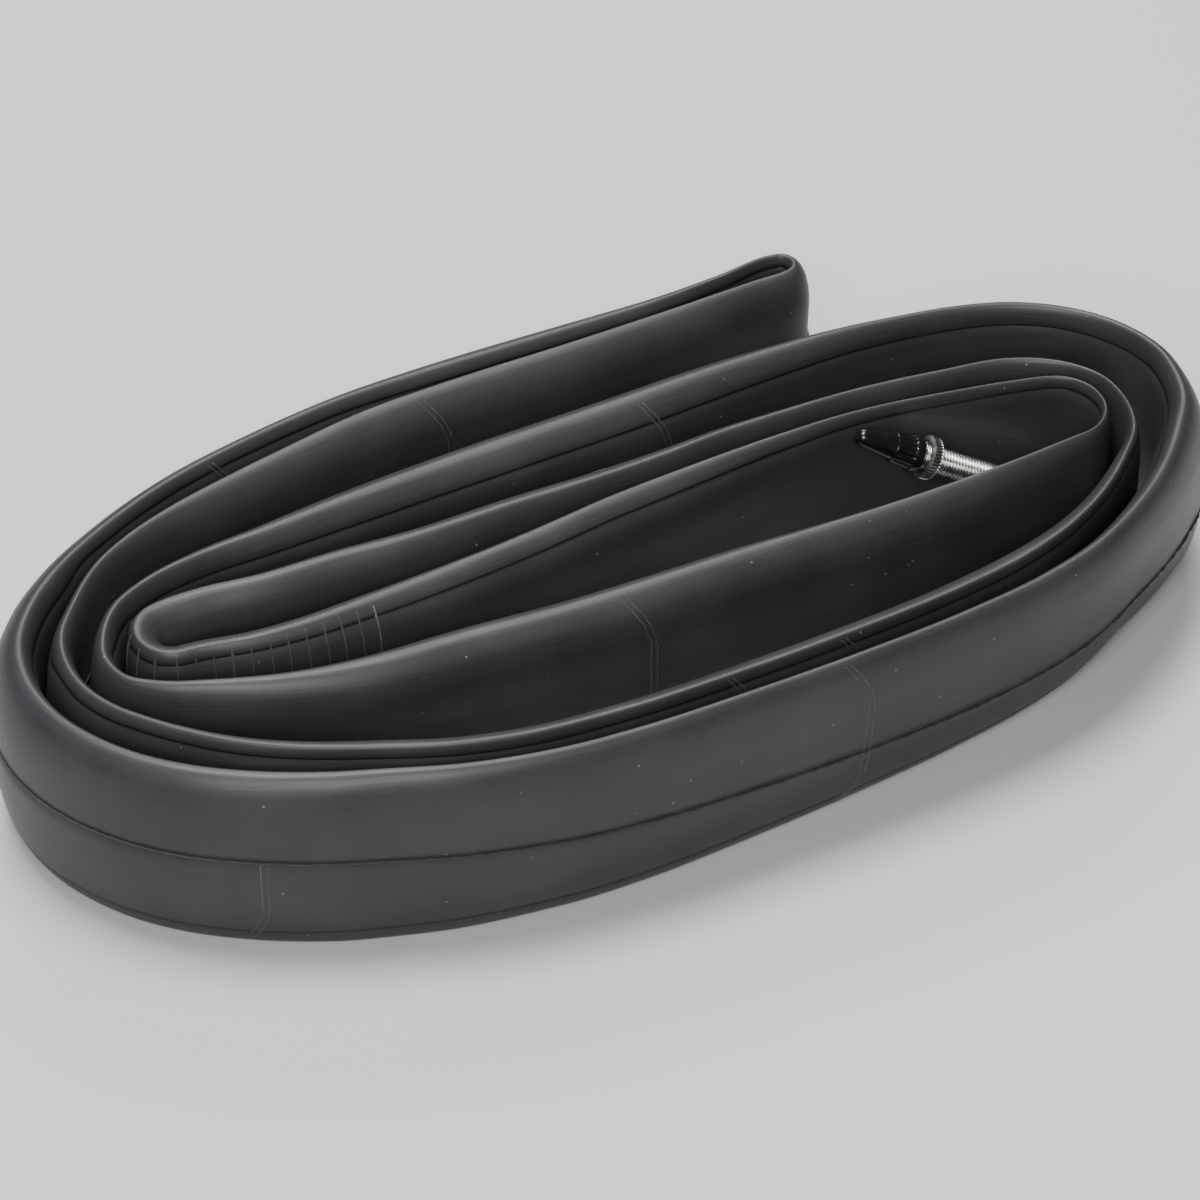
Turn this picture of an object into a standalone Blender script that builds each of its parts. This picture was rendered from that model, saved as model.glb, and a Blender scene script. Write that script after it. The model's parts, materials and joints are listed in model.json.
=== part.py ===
"""Bicycle inner tube, deflated and folded into a flat bundle that stands on its edge.

One closed butyl ring runs through every fold of the bundle. Its valve is a long Presta valve:
a threaded stem vulcanised into a rubber pad, a removable core, a rim nut and a dust cap.

Units are metres and +Z is up. The origin is the centre of the bundle's footprint, on the ground.
"""

from math import cos, degrees, hypot, pi, radians, sin, sqrt

import bmesh
import bpy
from mathutils import Matrix, Vector

MM = 0.001

# The butyl ring, millimetres
EDGE_HEIGHT = 47.8
HEIGHT_LOSS = 0.3
WALL = 0.9
STRIP = 0.5
CREASE_RIDGE = 0.25
LEAN = 8.0
SPREAD = 2.8
HALF_LENGTH = 136.0
HALF_DEPTH = 66.0
LONGEST_STEP = 14.0
SHARPEST_TURN = 15.0

# The middle of the footprint, in the route's own plan coordinates, millimetres
MIDDLE_X = -0.53
MIDDLE_Y = 0.93

# The fold that carries the valve, millimetres
FOLD_X = 102.3
FOLD_Y = -16.0
FOLD_RADIUS = 10.4
FOLD_THICKNESS = 3.2

# The valve axis: where it leaves the rubber, and its direction
VALVE_SIDE = -21.0
VALVE_HEIGHT = 16.5
VALVE_AZIMUTH = 162.0
VALVE_TILT = 28.0

# The valve's parts, millimetres along its axis from the rubber's face, and diameters
FOOT = 3.8
FOOT_RADIUS = 3.9
STEM_END = 49.7
STEM_DIAMETER = 6.0
STEM_BORE = 4.4
CORE_TOP = 53.3
CORE_DIAMETER = 5.0
CORE_SHANK = 4.0
CORE_SHANK_LENGTH = 13.0
CORE_FLAT = 4.2
PIN_DIAMETER = 1.5
PIN_TOP = 59.2
LOCK_NUT_BOTTOM = 55.4
LOCK_NUT_TOP = 58.0
LOCK_NUT_DIAMETER = 3.3
RIM_NUT_BOTTOM = 41.6
RIM_NUT_TOP = 44.3
RIM_NUT_DIAMETER = 9.9
RIM_NUT_TEETH = 40
CAP_SKIRT = 45.6
CAP_STEP = 52.3
CAP_TIP = 61.5
CAP_RIBS = 20
CLEARANCE = 0.3

# The pad under the valve, millimetres
PAD_THICKNESS = 1.8
PAD_WIDTH = 19.0
BOSS_TOP = 7.4
AIR_HOLE = 3.0

HOME = Vector((-MIDDLE_X, -MIDDLE_Y, 0.0)) * MM


def arc(x, y, radius, start, end, thickness, points):
    """Points of a round fold, as (x, y, thickness), from one angle in degrees to another."""
    angles = [start + (end - start) * i / (points - 1) for i in range(points)]
    return [
        (x + radius * cos(radians(a)), y + radius * sin(radians(a)), thickness) for a in angles
    ]


def route():
    """The ring's centre line through the bundle, once round, as (x, y, thickness) in millimetres.

    The tread side of the rubber is on the right of the direction of travel.
    """
    back_outer = [
        (60.0, 59.9, 4.6), (45.0, 59.8, 6.6), (25.0, 61.0, 8.5), (5.0, 62.2, 9.4),
        (-15.0, 62.8, 9.2), (-35.0, 62.2, 7.4), (-57.0, 59.4, 6.8), (-81.0, 54.2, 7.2),
        (-98.0, 47.6, 7.6), (-113.2, 39.2, 8.0), (-121.8, 32.0, 8.6), (-128.8, 22.2, 9.2),
    ]
    left_end_outer = [
        (-131.8, 8.0, 9.2), (-130.2, -3.0, 8.8), (-126.2, -12.4, 8.4),
        (-120.4, -21.0, 8.2), (-113.8, -27.8, 8.2), (-103.6, -35.6, 8.0),
    ]
    front_outer = [
        (-88.5, -44.2, 7.2), (-79.2, -48.3, 6.8), (-64.1, -54.7, 6.3), (-42.2, -60.4, 6.3),
        (-27.5, -62.2, 6.3), (0.5, -63.5, 6.5), (26.3, -63.8, 6.8), (53.0, -62.9, 7.2),
        (71.2, -60.9, 7.6), (87.2, -56.8, 8.2), (101.3, -50.0, 8.8), (111.6, -43.2, 9.4),
        (123.7, -31.8, 10.0), (130.9, -22.5, 9.0),
    ]
    right_end = [
        (133.4, -13.5, 6.8), (133.7, -9.0, 6.0), (132.6, -3.0, 5.4), (128.8, 5.7, 5.2),
        (123.2, 12.7, 5.2), (113.5, 20.0, 5.0),
    ]
    middle_back = [
        (100.2, 25.2, 4.8), (88.7, 27.7, 4.5), (76.8, 29.7, 4.4), (51.0, 31.6, 4.6),
        (14.6, 31.4, 4.3), (-20.0, 31.4, 4.3), (-50.0, 30.4, 4.2), (-70.0, 29.2, 4.4),
        (-85.0, 28.6, 4.6), (-97.0, 26.6, 5.0), (-106.9, 22.2, 6.0), (-112.4, 15.6, 6.6),
    ]
    left_end_inner = [(-115.0, 8.5, 6.6), (-113.8, 1.7, 6.4), (-108.0, -3.8, 6.0)]
    valve_front = [
        (-99.0, -8.5, 5.2), (-81.2, -15.4, 4.6), (-64.4, -18.8, 4.3), (-50.0, -20.2, 4.0),
        (-22.0, -23.4, 3.7), (20.0, -25.4, 3.4), (60.0, -27.2, 3.3), (85.0, -27.1, 3.3),
    ]
    valve_fold = arc(FOLD_X, FOLD_Y, FOLD_RADIUS, -95.0, 70.0, FOLD_THICKNESS, 12)
    valve_back = [
        (100.0, -4.4, 3.2), (85.0, -0.8, 3.2), (60.5, 3.5, 3.2), (43.0, 4.3, 3.2),
        (19.7, 4.1, 3.3), (0.8, 3.3, 3.4), (-18.7, 1.2, 3.5), (-37.0, -0.2, 3.6),
        (-60.0, -1.2, 3.8), (-74.2, -1.5, 3.9), (-85.4, -0.6, 4.1),
    ]
    small_fold = arc(-98.8, 10.3, 8.1, 275.0, 90.0, 4.7, 9)
    middle_front = [
        (-90.0, 18.2, 4.3), (-76.6, 16.0, 4.0), (-59.0, 14.7, 4.0), (-43.9, 12.8, 4.0),
        (-16.8, 11.8, 4.0), (3.4, 10.8, 4.0), (18.4, 10.8, 4.0), (32.6, 11.5, 4.0),
        (48.6, 11.2, 4.0), (65.7, 10.2, 4.0), (85.0, 7.2, 4.0), (102.4, 3.2, 4.0),
        (108.9, -0.6, 4.0), (113.8, -5.6, 4.0), (116.7, -11.0, 4.1), (117.3, -18.0, 4.2),
        (114.4, -28.0, 4.6),
    ]
    front_inner = [
        (106.0, -36.8, 4.6), (97.1, -43.6, 4.4), (84.6, -50.0, 4.4), (69.9, -54.3, 4.3),
        (52.4, -56.6, 4.3), (26.2, -57.7, 4.2), (0.3, -57.6, 4.2), (-27.1, -56.4, 4.0),
        (-50.1, -53.0, 4.0), (-62.6, -49.2, 3.9), (-76.9, -42.6, 4.0), (-91.4, -34.6, 4.6),
        (-100.2, -28.2, 5.2),
    ]
    left_end_middle = [
        (-109.6, -19.0, 5.8), (-115.2, -12.0, 6.2), (-119.6, -5.2, 6.7), (-122.6, 3.5, 6.9),
        (-122.8, 10.5, 6.9), (-120.4, 19.3, 6.6), (-114.8, 26.6, 6.2),
    ]
    back_inner = [
        (-104.2, 36.5, 5.0), (-93.4, 41.9, 4.6), (-82.9, 45.3, 4.4), (-69.0, 48.4, 4.3),
        (-53.8, 51.2, 4.2), (-34.2, 54.2, 4.0), (-10.0, 54.8, 3.8), (15.0, 54.2, 3.6),
        (45.0, 54.0, 3.4), (66.0, 54.2, 3.3),
    ]
    tight_fold = arc(73.6, 57.3, 3.1, -85.0, 85.0, 3.4, 9)
    stretches = [
        back_outer, left_end_outer, front_outer, right_end, middle_back, left_end_inner,
        valve_front, valve_fold, valve_back, small_fold, middle_front, front_inner,
        left_end_middle, back_inner, tight_fold,
    ]
    return [point for stretch in stretches for point in stretch]


def smooth_loop(points, spacing):
    """A closed cubic curve through the points, sampled about every spacing millimetres."""
    count = len(points)
    knots = [Vector(p) for p in points]
    chords = [(knots[(i + 1) % count] - knots[i]).xy.length for i in range(count)]
    slopes = [(knots[(i + 1) % count] - knots[i]) / chords[i] for i in range(count)]
    tangents = [
        (slopes[i - 1] * chords[i] + slopes[i] * chords[i - 1]) / (chords[i - 1] + chords[i])
        for i in range(count)
    ]
    samples = []
    for i in range(count):
        pieces = max(1, round(chords[i] / spacing))
        for step in range(pieces):
            u = step / pieces
            here = knots[i] * (2 * u**3 - 3 * u**2 + 1) + knots[(i + 1) % count] * (
                3 * u**2 - 2 * u**3
            )
            pull = tangents[i] * (u**3 - 2 * u**2 + u) + tangents[(i + 1) % count] * (u**3 - u**2)
            samples.append(here + pull * chords[i])
    return samples


def stations(samples):
    """The samples that keep the loft's steps short and its turns gentle, with their tread side."""
    count = len(samples)
    chosen = []
    travelled = LONGEST_STEP
    turned = 0.0
    for i in range(count):
        before = (samples[i] - samples[i - 1]).xy
        after = (samples[(i + 1) % count] - samples[i]).xy
        travelled += before.length
        turned += abs(degrees(before.angle_signed(after)))
        if travelled >= LONGEST_STEP or turned >= SHARPEST_TURN:
            along = (before.normalized() + after.normalized()).normalized()
            chosen.append((samples[i], Vector((along.y, -along.x))))
            travelled = 0.0
            turned = 0.0
    return chosen


def ramp(value, low, high):
    """0 below low, 1 above high and a smooth rise between."""
    u = min(1.0, max(0.0, (value - low) / (high - low)))
    return u * u * (3.0 - 2.0 * u)


def lean(x, y):
    """How far the bottom edge stands from below the top edge, as a plan vector in millimetres.

    The front of the bundle leans out at the top, more and more towards the right end. The
    outermost turn of the left end spreads outwards at its foot.
    """
    past_right = degrees(Vector((1.0, 0.0)).angle(Vector((x - 60.0, y)), 0.0))
    front = ramp(x, -80.0, 100.0) * ramp(-y, 26.0, 34.0) * ramp(past_right, 15.0, 52.0)
    outward = radians(-90.0 + 45.0 * ramp(x, 40.0, 120.0))
    out_front = Vector((cos(outward), sin(outward)))
    out_left = Vector((x / HALF_LENGTH**2, y / HALF_DEPTH**2)).normalized()
    reach = (x / HALF_LENGTH) ** 2 + (y / HALF_DEPTH) ** 2
    foot = ramp(-x, 45.0, 90.0) * ramp(reach, 0.82, 0.86)
    return out_left * SPREAD * foot - out_front * LEAN * front


def edge_height(thickness):
    """A flattened tube is tallest where it is thinnest."""
    return EDGE_HEIGHT - HEIGHT_LOSS * thickness


def crease_height(x, y):
    """Height of the mould's parting line on the tread side: it sinks towards the right."""
    return 26.0 - 9.0 * ramp(x, -110.0, 70.0) * ramp(-y, 0.0, 20.0)


def half_width(thickness, height_share):
    """Half the section's thickness at a share -1 to 1 of its half height."""
    squareness = 2.4 + 45.0 / thickness**2 * (1.0 + 0.025 * thickness)
    return 0.5 * thickness * sqrt(max(0.0, 1.0 - abs(height_share) ** squareness))


def outer_section(x, y, thickness):
    """The outside of the folded tube, as (across, height): up the tread side, down the rim side."""
    tall = edge_height(thickness)
    shares = (-1.0, -0.93, -0.76, -0.42, 0.0, 0.42, 0.76, 0.93, 1.0)
    strip = max(STRIP, half_width(thickness, 0.985))
    crease = crease_height(x, y)
    tread = []
    rim = []
    for share in shares:
        wide = strip if abs(share) == 1.0 else half_width(thickness, share)
        span = crease if share < 0.0 else tall - crease
        ridge = CREASE_RIDGE if share == 0.0 else 0.0
        tread.append((wide + ridge, crease + share * span))
        rim.append((-wide, 0.5 * tall * (1.0 + share)))
    return tread + rim[::-1]


def inner_section(x, y, thickness):
    """The inside of the folded tube, one wall in from the outside, in the same order."""
    tall = edge_height(thickness)
    shares = (-1.0, -0.8, 0.0, 0.8, 1.0)
    half = 0.5 * tall - WALL
    side = []
    for share in shares:
        wide = 0.2 if abs(share) == 1.0 else half_width(thickness - 2.0 * WALL, share)
        side.append((wide, 0.5 * tall + share * half))
    return side + [(-across, height) for across, height in side[::-1]]


def loft(mesh, places, section, inside):
    """A closed tube of one section swept round the route; an inside wall faces the other way."""
    rings = []
    for middle, tread_side in places:
        thickness = middle.z
        shift = lean(middle.x, middle.y)
        ring = []
        for across, height in section(middle.x, middle.y, thickness):
            low = 1.0 - height / edge_height(thickness)
            plan = middle.xy + tread_side * across + shift * low
            ring.append(mesh.verts.new((plan.x * MM, plan.y * MM, height * MM)))
        rings.append(ring)
    for i, ring in enumerate(rings):
        following = rings[(i + 1) % len(rings)]
        for j, corner in enumerate(ring):
            k = (j + 1) % len(ring)
            face = (corner, ring[k], following[k], following[j])
            mesh.faces.new(face[::-1] if inside else face)


def material(name, colour, roughness, metallic=0.0):
    """A plain finish for one kind of piece."""
    finish = bpy.data.materials.new(name)
    finish.use_nodes = True
    shader = finish.node_tree.nodes["Principled BSDF"]
    shader.inputs["Base Color"].default_value = (*colour, 1.0)
    shader.inputs["Roughness"].default_value = roughness
    shader.inputs["Metallic"].default_value = metallic
    return finish


def add_piece(name, mesh, collection, finish=None, parent=None):
    """Put a finished bmesh in the scene as one named object, shaded smooth across soft edges."""
    data = bpy.data.meshes.new(name)
    mesh.to_mesh(data)
    mesh.free()
    data.shade_smooth()
    data.set_sharp_from_angle(angle=radians(35.0))
    piece = bpy.data.objects.new(name, data)
    collection.objects.link(piece)
    if finish is not None:
        data.materials.append(finish)
    if parent is not None:
        piece.parent = parent
    return piece


def turned(profile, steps, flute=None):
    """A turned solid about local Z. The profile is closed, and runs down its outer side.

    flute(vertex, number) may move every vertex in or out, for knurls and ribs.
    """
    mesh = bmesh.new()
    corners = [mesh.verts.new((radius * MM, 0.0, height * MM)) for radius, height in profile]
    outline = [
        mesh.edges.new((corners[i], corners[(i + 1) % len(corners)]))
        for i in range(len(corners))
        if profile[i][0] > 0.0 or profile[(i + 1) % len(corners)][0] > 0.0
    ]
    bmesh.ops.spin(
        mesh, geom=corners + outline, cent=(0, 0, 0), axis=(0, 0, 1), angle=2.0 * pi,
        steps=steps, use_merge=True,
    )
    bmesh.ops.remove_doubles(mesh, verts=mesh.verts, dist=0.000001)
    bmesh.ops.recalc_face_normals(mesh, faces=mesh.faces)
    if flute is not None:
        for corner in mesh.verts:
            turn = degrees(Vector((1.0, 0.0)).angle_signed(corner.co.xy, 0.0)) % 360.0
            flute(corner, round(turn * steps / 360.0))
    return mesh


def cut(piece, cutter, operation="DIFFERENCE"):
    """Cut, join or trim one piece by another, as a live modifier."""
    boolean = piece.modifiers.new(cutter.name, "BOOLEAN")
    boolean.object = cutter
    boolean.operation = operation
    boolean.solver = "EXACT"


def add_cutter(name, mesh, collection, parent=None):
    """A guide solid that shapes other pieces and isn't part of the tube."""
    cutter = add_piece(name, mesh, collection, parent=parent)
    cutter.hide_render = True
    cutter.display_type = "WIRE"
    return cutter


def round_bar(radius, low, high, sides=24):
    """A plain cylinder along local Z, from one height to another."""
    mesh = bmesh.new()
    bmesh.ops.create_cone(
        mesh, cap_ends=True, segments=sides, radius1=radius * MM, radius2=radius * MM,
        depth=(high - low) * MM, matrix=Matrix.Translation((0, 0, 0.5 * (low + high) * MM)),
    )
    return mesh


def add_empty(name, place, direction, collection):
    """An empty at a point, its local Z along a direction."""
    empty = bpy.data.objects.new(name, None)
    empty.empty_display_size = 0.01
    empty.location = place
    empty.rotation_euler = direction.to_track_quat("Z", "Y").to_euler()
    collection.objects.link(empty)
    return empty


def build_tube(collection, cutters, wall_axis, finish):
    """The butyl ring: a hollow flattened tube, open only at the valve's air hole."""
    mesh = bmesh.new()
    places = stations(smooth_loop(route(), 1.0))
    loft(mesh, places, outer_section, inside=False)
    loft(mesh, places, inner_section, inside=True)
    tube = add_piece("tube", mesh, collection, finish)
    tube.location = HOME
    hole = add_cutter("air_hole", round_bar(0.5 * AIR_HOLE, -1.6, 0.8, 12), cutters, wall_axis)
    cut(tube, hole)
    return tube


def build_pad(collection, cutters, valve, wall_axis, fold, finish):
    """The rubber pad vulcanised to the rim side, with the boss that holds the stem's foot."""
    outer = FOLD_RADIUS - 0.5 * FOLD_THICKNESS - CLEARANCE - 0.1
    half = 0.5 * PAD_WIDTH
    pad = add_piece(
        "valve_pad", round_bar(outer, VALVE_HEIGHT - half, VALVE_HEIGHT + half, 48),
        collection, finish, fold,
    )
    hollow = round_bar(outer - PAD_THICKNESS, -1.0, 50.0, 48)
    cut(pad, add_cutter("pad_hollow", hollow, cutters, fold))
    outline = round_bar(half, -0.9 * outer, 2.0, 32)
    cut(pad, add_cutter("pad_outline", outline, cutters, wall_axis), "INTERSECT")
    boss_profile = [
        (0.0, BOSS_TOP), (4.1, BOSS_TOP), (4.7, BOSS_TOP - 0.5), (5.6, 5.0), (6.6, 2.8),
        (8.2, 0.2), (8.2, -5.0), (0.0, -5.0),
    ]
    boss = add_cutter("pad_boss", turned(boss_profile, 32), cutters, valve)
    trim = add_cutter("boss_trim", round_bar(outer, 0.0, 45.0, 48), cutters, fold)
    cut(boss, trim, "INTERSECT")
    cut(pad, boss, "UNION")
    stem_radius = 0.5 * STEM_DIAMETER + CLEARANCE
    foot_radius = FOOT_RADIUS + CLEARANCE
    pocket_profile = [
        (0.0, BOSS_TOP + 2.0), (stem_radius, BOSS_TOP + 2.0), (stem_radius, FOOT + 1.0 + CLEARANCE),
        (foot_radius, FOOT + 1.0 + CLEARANCE), (foot_radius, FOOT - CLEARANCE),
        (0.5 * AIR_HOLE, FOOT - CLEARANCE), (0.5 * AIR_HOLE, -8.0), (0.0, -8.0),
    ]
    cut(pad, add_cutter("stem_pocket", turned(pocket_profile, 24), cutters, valve))
    return pad


def build_stem(collection, valve, finish):
    """The brass stem: a foot that grips the rubber, a straight shank and the core's bore."""
    outer = 0.5 * STEM_DIAMETER
    bore = 0.5 * STEM_BORE
    seat = STEM_END - CORE_SHANK_LENGTH - 6.0
    profile = [
        (outer - 0.4, STEM_END), (outer, STEM_END - 0.4), (outer, FOOT + 1.0), (FOOT_RADIUS, FOOT + 1.0),
        (FOOT_RADIUS, FOOT), (1.3, FOOT), (1.3, seat - 1.2), (bore, seat - 0.4), (bore, STEM_END),
    ]
    return add_piece("valve_stem", turned(profile, 28), collection, finish, valve)


def build_core(collection, valve, brass, rubber):
    """The removable core: a body with two spanner flats, and the gasket on its shank."""
    head = 0.5 * CORE_DIAMETER
    shank = 0.5 * CORE_SHANK
    bore = 0.5 * PIN_DIAMETER + CLEARANCE
    shoulder = STEM_END + CLEARANCE
    seat = STEM_END - CORE_SHANK_LENGTH + 1.0
    groove = seat + 3.0
    profile = [
        (head - 0.4, CORE_TOP), (head, CORE_TOP - 0.4), (head, shoulder), (shank, shoulder),
        (shank, groove + 1.6), (shank - 0.6, groove + 1.6), (shank - 0.6, groove),
        (shank, groove), (shank - 0.4, seat), (bore + 0.3, seat), (bore, seat + 1.0),
        (bore, CORE_TOP),
    ]

    def flat(corner, _number):
        """Press two sides of the head flat, for the core key."""
        limit = 0.5 * CORE_FLAT * MM
        if corner.co.z > (shoulder + 0.1) * MM and abs(corner.co.y) > limit:
            corner.co.y = limit if corner.co.y > 0.0 else -limit

    body = add_piece("core_body", turned(profile, 28, flat), collection, brass, valve)
    inner = shank - 0.6 + CLEARANCE * 0.4
    gasket_profile = [
        (shank + 0.06, groove + 1.2), (shank + 0.06, groove + 0.4), (inner, groove + 0.4),
        (inner, groove + 1.2),
    ]
    gasket = add_piece("core_gasket", turned(gasket_profile, 20), collection, rubber, valve)
    return body, gasket


def build_pin(collection, valve, brass, rubber):
    """The plunger that the lock nut frees, and the rubber seal on its lower end."""
    pin_radius = 0.5 * PIN_DIAMETER
    seat = STEM_END - CORE_SHANK_LENGTH + 1.0
    foot = seat - 3.4
    profile = [
        (0.0, PIN_TOP), (pin_radius - 0.25, PIN_TOP), (pin_radius, PIN_TOP - 0.3),
        (pin_radius, PIN_TOP - 0.8), (0.6, PIN_TOP - 1.0), (0.6, foot + 1.0), (1.3, foot + 0.8),
        (1.3, foot), (0.0, foot),
    ]
    pin = add_piece("core_pin", turned(profile, 20), collection, brass, valve)
    seal_profile = [
        (1.1, seat - CLEARANCE), (1.7, seat - 0.9), (1.7, foot + 1.2), (0.9, foot + 1.2),
        (0.9, seat - CLEARANCE),
    ]
    seal = add_piece("core_seal", turned(seal_profile, 20), collection, rubber, valve)
    return pin, seal


def build_lock_nut(collection, valve, finish):
    """The small knurled nut on the plunger, run up its thread as it is for pumping."""
    outer = 0.5 * LOCK_NUT_DIAMETER
    bore = 0.6 + CLEARANCE
    profile = [
        (outer - 0.3, LOCK_NUT_TOP), (outer, LOCK_NUT_TOP - 0.3), (outer, LOCK_NUT_BOTTOM + 1.0),
        (outer - 0.35, LOCK_NUT_BOTTOM + 0.8), (outer - 0.35, LOCK_NUT_BOTTOM),
        (bore, LOCK_NUT_BOTTOM), (bore, LOCK_NUT_TOP),
    ]

    def knurl(corner, number):
        """Straight teeth round the grip."""
        if number % 2 and corner.co.xy.length > (outer - 0.05) * MM:
            corner.co.xy *= 1.0 - 0.15 / outer

    return add_piece("lock_nut", turned(profile, 32, knurl), collection, finish, valve)


def build_rim_nut(collection, valve, finish):
    """The round nut that clamps the stem to the rim, with straight knurling and a bevelled face."""
    outer = 0.5 * RIM_NUT_DIAMETER
    bore = 0.5 * STEM_DIAMETER + CLEARANCE
    profile = [
        (bore + 0.4, RIM_NUT_TOP), (outer - 0.7, RIM_NUT_TOP), (outer, RIM_NUT_TOP - 0.6),
        (outer, RIM_NUT_BOTTOM + 0.4), (outer - 0.4, RIM_NUT_BOTTOM),
        (bore + 0.3, RIM_NUT_BOTTOM), (bore, RIM_NUT_BOTTOM + 0.3), (bore, RIM_NUT_TOP - 0.4),
    ]

    def knurl(corner, number):
        """Straight teeth round the grip."""
        if number % 2 and corner.co.xy.length > (outer - 0.05) * MM:
            corner.co.xy *= 1.0 - 0.3 / outer

    steps = 2 * RIM_NUT_TEETH
    return add_piece("rim_nut", turned(profile, steps, knurl), collection, finish, valve)


def build_cap(collection, valve, finish):
    """The dust cap: a ribbed skirt over the stem and a tapered nose over the core."""
    profile = [
        (0.0, CAP_TIP), (1.0, CAP_TIP - 0.15), (1.8, CAP_TIP - 0.8), (2.1, CAP_TIP - 1.8),
        (3.05, CAP_STEP + 0.3), (3.4, CAP_STEP - 0.3), (3.75, CAP_SKIRT + 2.3),
        (4.0, CAP_SKIRT + 2.0), (4.0, CAP_SKIRT + 0.3), (3.8, CAP_SKIRT), (3.35, CAP_SKIRT),
        (3.3, STEM_END + 0.5), (2.8, STEM_END + 0.9), (2.8, CORE_TOP + 0.6),
        (1.95, CORE_TOP + 1.2), (1.95, LOCK_NUT_TOP + 0.4), (1.15, LOCK_NUT_TOP + 1.0),
        (1.15, PIN_TOP + 0.4), (0.0, PIN_TOP + 0.6),
    ]

    def rib(corner, number):
        """Fine ribs down the skirt and along the nose."""
        height = corner.co.z / MM
        out = corner.co.xy.length / MM
        on_skirt = CAP_SKIRT + 2.1 < height < CAP_STEP and out > 3.35
        if number % 2 and on_skirt:
            corner.co.xy *= 1.0 + 0.2 / out

    return add_piece("dust_cap", turned(profile, 2 * CAP_RIBS, rib), collection, finish, valve)


def build():
    """Clear the scene and make every piece of the tube."""
    for leftover in list(bpy.data.objects):
        bpy.data.objects.remove(leftover)
    pieces = bpy.data.collections.new("inner_tube")
    cutters = bpy.data.collections.new("cutters")
    bpy.context.scene.collection.children.link(pieces)
    bpy.context.scene.collection.children.link(cutters)

    butyl = material("butyl_rubber", (0.055, 0.055, 0.06), 0.55)
    moulded_rubber = material("moulded_rubber", (0.03, 0.03, 0.032), 0.6)
    nickel = material("nickel_plate", (0.72, 0.7, 0.66), 0.25, 1.0)
    plastic = material("cap_plastic", (0.012, 0.012, 0.013), 0.2)

    face_radius = FOLD_RADIUS - 0.5 * FOLD_THICKNESS
    side = radians(VALVE_SIDE)
    inward = Vector((-cos(side), -sin(side), 0.0))
    fold_place = HOME + Vector((FOLD_X, FOLD_Y, 0.0)) * MM
    root = fold_place + Vector((0.0, 0.0, VALVE_HEIGHT)) * MM - inward * face_radius * MM
    turn = radians(VALVE_AZIMUTH)
    tilt = radians(VALVE_TILT)
    axis = Vector((cos(turn) * cos(tilt), sin(turn) * cos(tilt), sin(tilt)))
    valve = add_empty("valve_axis", root, axis, pieces)
    wall_axis = add_empty("wall_axis", root, inward, cutters)
    fold = add_empty("fold_axis", fold_place, Vector((0, 0, 1)), cutters)

    build_tube(pieces, cutters, wall_axis, butyl)
    build_pad(pieces, cutters, valve, wall_axis, fold, moulded_rubber)
    build_stem(pieces, valve, nickel)
    build_core(pieces, valve, nickel, moulded_rubber)
    build_pin(pieces, valve, nickel, moulded_rubber)
    build_lock_nut(pieces, valve, nickel)
    build_rim_nut(pieces, valve, nickel)
    build_cap(pieces, valve, plastic)


build()
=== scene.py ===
"""Looks of the folded bicycle inner tube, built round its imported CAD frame."""

import json
from bisect import bisect_left
from math import cos, degrees, pi, radians, sin, sqrt
from random import Random

import bmesh
import bpy
from mathutils import Matrix, Vector


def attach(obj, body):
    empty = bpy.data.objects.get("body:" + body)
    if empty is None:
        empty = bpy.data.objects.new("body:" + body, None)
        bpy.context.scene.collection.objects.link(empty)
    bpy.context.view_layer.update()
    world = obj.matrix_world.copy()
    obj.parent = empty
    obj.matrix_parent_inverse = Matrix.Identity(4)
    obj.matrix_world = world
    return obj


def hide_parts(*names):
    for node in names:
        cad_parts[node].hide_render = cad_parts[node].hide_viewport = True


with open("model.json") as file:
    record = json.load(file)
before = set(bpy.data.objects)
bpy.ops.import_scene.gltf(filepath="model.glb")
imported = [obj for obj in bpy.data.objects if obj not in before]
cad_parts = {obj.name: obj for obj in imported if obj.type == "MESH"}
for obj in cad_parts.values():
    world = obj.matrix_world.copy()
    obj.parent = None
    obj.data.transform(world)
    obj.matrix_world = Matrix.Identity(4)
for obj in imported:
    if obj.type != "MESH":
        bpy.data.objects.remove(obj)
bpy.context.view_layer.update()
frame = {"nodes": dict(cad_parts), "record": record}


# Camera: a long lens well back from the bundle, a little to the left of its front, looking down
# on it from 42 degrees so that every fold and the valve in its gap can be seen.

CAMERA_ELEVATION = radians(42.0)
CAMERA_TURN = radians(28.0)
CAMERA_DISTANCE = 1.0
LENS = 138.0
LOOK_AT = Vector((-0.00377, -0.00258, 0.023))

camera_data = bpy.data.cameras.new("camera")
camera_data.lens = LENS
camera = bpy.data.objects.new("camera", camera_data)
bpy.context.scene.collection.objects.link(camera)
level = cos(CAMERA_ELEVATION)
toward_camera = Vector(
    (-sin(CAMERA_TURN) * level, -cos(CAMERA_TURN) * level, sin(CAMERA_ELEVATION))
)
camera.location = LOOK_AT + toward_camera * CAMERA_DISTANCE
camera.rotation_euler = (0.5 * pi - CAMERA_ELEVATION, 0.0, -CAMERA_TURN)
bpy.context.scene.camera = camera


# Studio: the bundle stands on a matt pale table in a dim white room. A soft box overhead, a little
# behind, draws the long highlights along the folds, one in front and to the left lifts the front
# faces, and a wide one behind and to the right lights the backs of the laps.


def linear(code):
    """An sRGB colour like 4a4a4c as a linear RGBA value."""
    channels = [int(code[i : i + 2], 16) / 255.0 for i in (0, 2, 4)]
    values = [c / 12.92 if c <= 0.04045 else ((c + 0.055) / 1.055) ** 2.4 for c in channels]
    return (*values, 1.0)


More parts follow.
